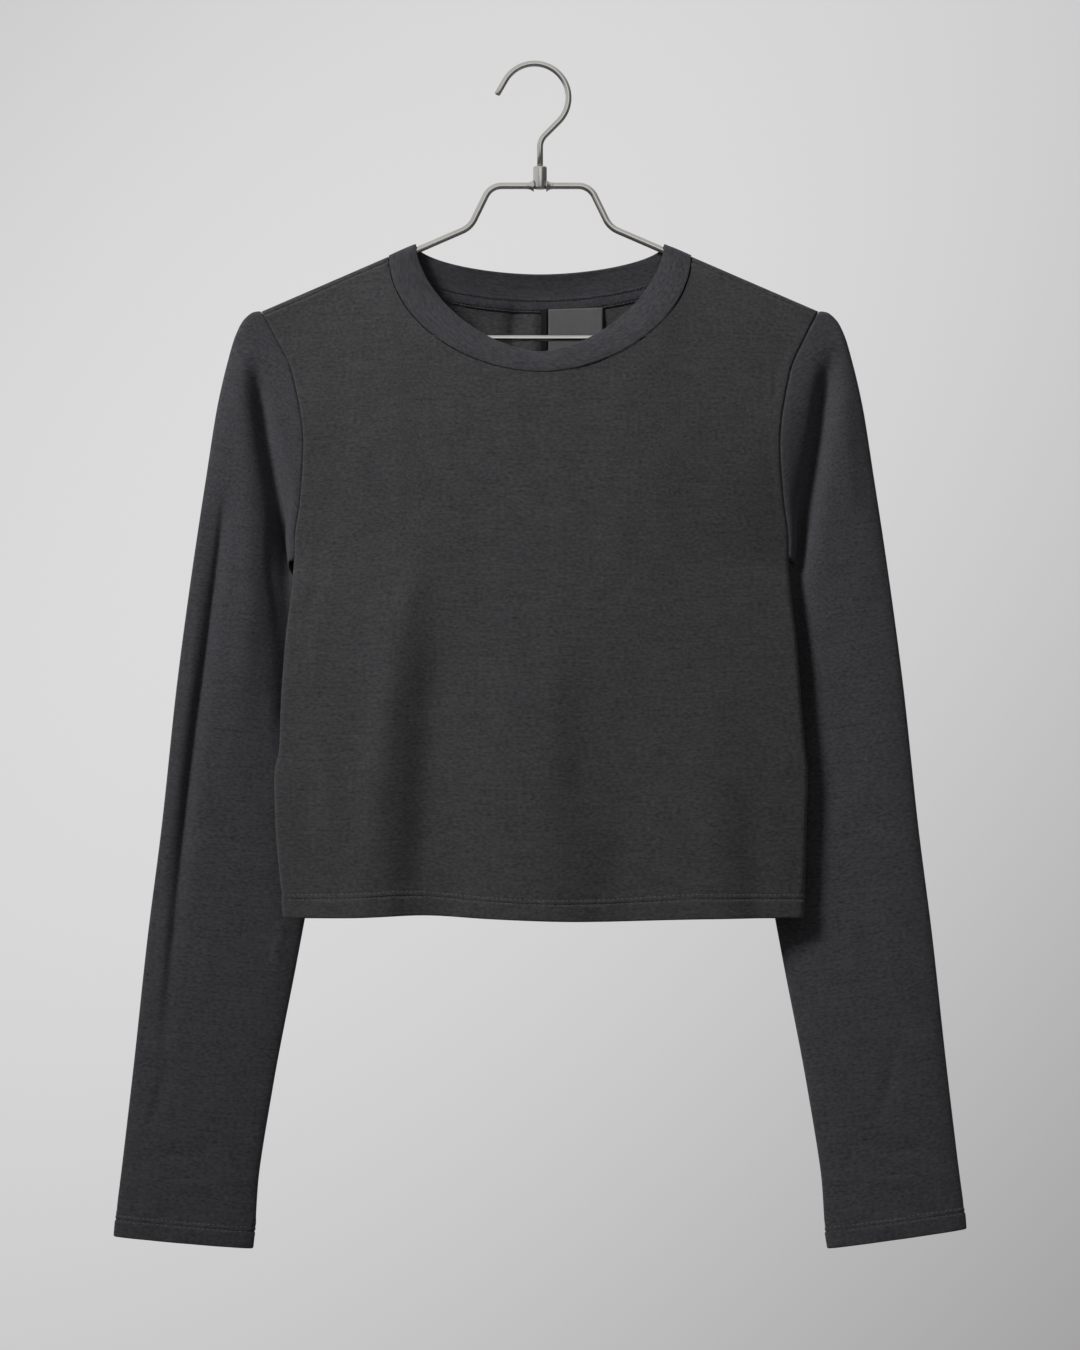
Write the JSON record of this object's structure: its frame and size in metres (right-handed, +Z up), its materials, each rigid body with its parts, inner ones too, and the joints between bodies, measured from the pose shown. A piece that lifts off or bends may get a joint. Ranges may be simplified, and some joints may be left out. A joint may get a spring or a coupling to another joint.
{
  "type": "long-sleeved crop top on wire hanger",
  "caption": "Charcoal jersey crop top with long set-in sleeves and a banded crew neck, hanging on a slim wire hanger with a round hook.",
  "frame": {"origin": "the point under the hook's crown where a rail bears, in line with the hook's stem", "axes": "+Z up along the hook's stem, +Y to the garment's back, +X to the viewer's right from the front"},
  "size_m": [0.5698, 0.0632, 0.7921],
  "materials": {
    "jersey": "charcoal marl cotton jersey, matt",
    "tape": "charcoal self-fabric tape",
    "label": "dark grey woven satin, blank",
    "strip": "black woven satin, blank",
    "wire": "satin nickel on round steel wire"
  },
  "bodies": {
    "root": {"front": "jersey", "back": "jersey", "upper_sleeve_left": "jersey", "lower_sleeve_left": "jersey", "upper_sleeve_right": "jersey", "lower_sleeve_right": "jersey", "neckband": "jersey", "neck_tape": "tape", "neck_label": "label", "size_strip": "strip", "hanger_frame": "wire", "hanger_socket": "wire", "hanger_hook": "wire"}
  },
  "joints": []
}
